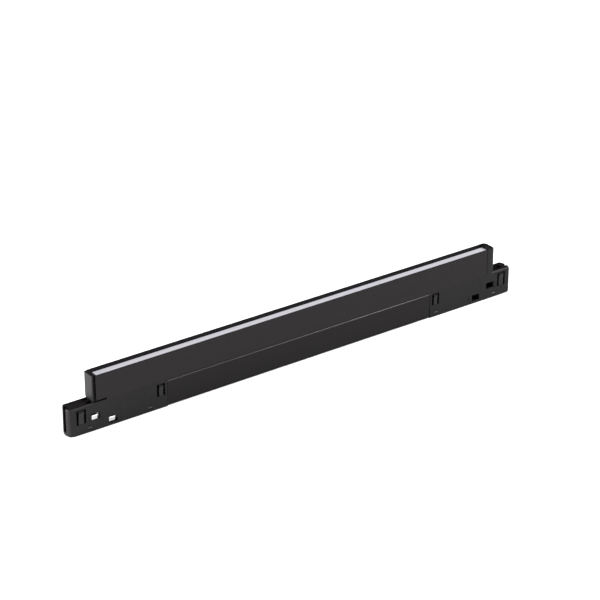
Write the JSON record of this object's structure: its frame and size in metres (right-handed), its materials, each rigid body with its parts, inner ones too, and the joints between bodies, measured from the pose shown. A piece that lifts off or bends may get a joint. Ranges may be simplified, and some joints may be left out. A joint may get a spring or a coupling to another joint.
{
  "type": "clip-in linear LED track light module",
  "caption": "Slim black linear LED module: a light bar with an opal diffuser on a snap-in track base with sprung contacts and latches.",
  "frame": {"origin": "centre of the underside of the track base, on the surface that it stands on", "axes": "+X along the module from the end with the supply contacts to the other end, -Y towards the side with the contacts, +Z towards the lit side of the diffuser"},
  "size_m": [0.3326, 0.0106, 0.0354],
  "materials": {
    "bar_aluminium": "satin black anodised or powder coated aluminium extrusion",
    "channel_aluminium": "satin black coated aluminium channel",
    "black_plastic": "satin black moulded polycarbonate",
    "opal_diffuser": "opal white acrylic, satin, slightly cool",
    "led_board_white": "white solder mask with small yellow LED packages",
    "thermal_tape": "white thermal adhesive tape",
    "clear_film": "milky insulating film",
    "board_green": "green solder mask",
    "terminal_white": "white nylon terminal body",
    "component_black": "moulded epoxy package",
    "capacitor_sleeve": "shrink sleeve",
    "ferrite_grey": "sintered ferrite with a lacquered winding",
    "contact_silver": "nickel plated spring bronze, bright",
    "screw_steel": "zinc plated steel",
    "red_wire": "red silicone insulation",
    "black_wire": "black silicone insulation"
  },
  "bodies": {
    "body": {"light_bar_profile": "bar_aluminium", "bar_end_cap_left": "black_plastic", "bar_end_cap_right": "black_plastic", "diffuser": "opal_diffuser", "led_board": "led_board_white", "thermal_tape": "thermal_tape", "adapter_housing_left": "black_plastic", "adapter_housing_right": "black_plastic", "adapter_cover_left": "black_plastic", "adapter_cover_right": "black_plastic", "adapter_screw_left_outer": "screw_steel", "adapter_screw_left_inner": "screw_steel", "adapter_screw_right_outer": "screw_steel", "adapter_screw_right_inner": "screw_steel", "contact_carrier": "black_plastic", "contact_terminal_upper": "contact_silver", "contact_terminal_lower": "contact_silver", "driver_channel": "channel_aluminium", "insulating_liner": "clear_film", "board_spacer_left": "black_plastic", "board_spacer_right": "black_plastic", "driver_board": "board_green", "input_terminal": "terminal_white", "output_terminal": "terminal_white", "bridge_rectifier": "component_black", "driver_chip": "component_black", "switching_transistor": "component_black", "freewheel_diode": "component_black", "input_capacitor": "capacitor_sleeve", "output_capacitor": "capacitor_sleeve", "filter_choke": "ferrite_grey", "output_choke": "ferrite_grey", "supply_wire_upper": "red_wire", "supply_wire_lower": "black_wire", "led_wire_plus": "red_wire", "led_wire_minus": "black_wire"},
    "latch_left_outer_front": {"latch_left_outer_front": "black_plastic"},
    "latch_left_outer_back": {"latch_left_outer_back": "black_plastic"},
    "latch_left_inner_front": {"latch_left_inner_front": "black_plastic"},
    "latch_left_inner_back": {"latch_left_inner_back": "black_plastic"},
    "latch_right_outer_front": {"latch_right_outer_front": "black_plastic"},
    "latch_right_outer_back": {"latch_right_outer_back": "black_plastic"},
    "latch_right_inner_front": {"latch_right_inner_front": "black_plastic"},
    "latch_right_inner_back": {"latch_right_inner_back": "black_plastic"},
    "contact_upper": {"contact_upper": "contact_silver"},
    "contact_lower": {"contact_lower": "contact_silver"}
  },
  "joints": [
    {"name": "latch_left_outer_front_flex", "type": "hinge", "parent": "body", "child": "latch_left_outer_front", "pos_m": [-0.1578, -0.00425, 0.0069], "axis": [-1, 0, 0], "range_deg": [0, 5], "stiffness_Nm_per_rad": 0.4},
    {"name": "latch_left_outer_back_flex", "type": "hinge", "parent": "body", "child": "latch_left_outer_back", "pos_m": [-0.1578, 0.00425, 0.0069], "axis": [1, 0, 0], "range_deg": [0, 5], "stiffness_Nm_per_rad": 0.4},
    {"name": "latch_left_inner_front_flex", "type": "hinge", "parent": "body", "child": "latch_left_inner_front", "pos_m": [-0.1034, -0.00425, 0.0083], "axis": [-1, 0, 0], "range_deg": [0, 5], "stiffness_Nm_per_rad": 0.4},
    {"name": "latch_left_inner_back_flex", "type": "hinge", "parent": "body", "child": "latch_left_inner_back", "pos_m": [-0.1034, 0.00425, 0.0083], "axis": [1, 0, 0], "range_deg": [0, 5], "stiffness_Nm_per_rad": 0.4},
    {"name": "latch_right_outer_front_flex", "type": "hinge", "parent": "body", "child": "latch_right_outer_front", "pos_m": [0.1578, -0.00425, 0.0069], "axis": [-1, 0, 0], "range_deg": [0, 5], "stiffness_Nm_per_rad": 0.4},
    {"name": "latch_right_outer_back_flex", "type": "hinge", "parent": "body", "child": "latch_right_outer_back", "pos_m": [0.1578, 0.00425, 0.0069], "axis": [1, 0, 0], "range_deg": [0, 5], "stiffness_Nm_per_rad": 0.4},
    {"name": "latch_right_inner_front_flex", "type": "hinge", "parent": "body", "child": "latch_right_inner_front", "pos_m": [0.1034, -0.00425, 0.0083], "axis": [-1, 0, 0], "range_deg": [0, 5], "stiffness_Nm_per_rad": 0.4},
    {"name": "latch_right_inner_back_flex", "type": "hinge", "parent": "body", "child": "latch_right_inner_back", "pos_m": [0.1034, 0.00425, 0.0083], "axis": [1, 0, 0], "range_deg": [0, 5], "stiffness_Nm_per_rad": 0.4},
    {"name": "contact_upper_press", "type": "hinge", "parent": "body", "child": "contact_upper", "pos_m": [-0.1393, -0.0032, 0.0089], "axis": [0, 0, -1], "range_deg": [0, 5], "stiffness_Nm_per_rad": 0.1},
    {"name": "contact_lower_press", "type": "hinge", "parent": "body", "child": "contact_lower", "pos_m": [-0.1277, -0.0032, 0.0042], "axis": [0, 0, -1], "range_deg": [0, 5], "stiffness_Nm_per_rad": 0.1}
  ]
}
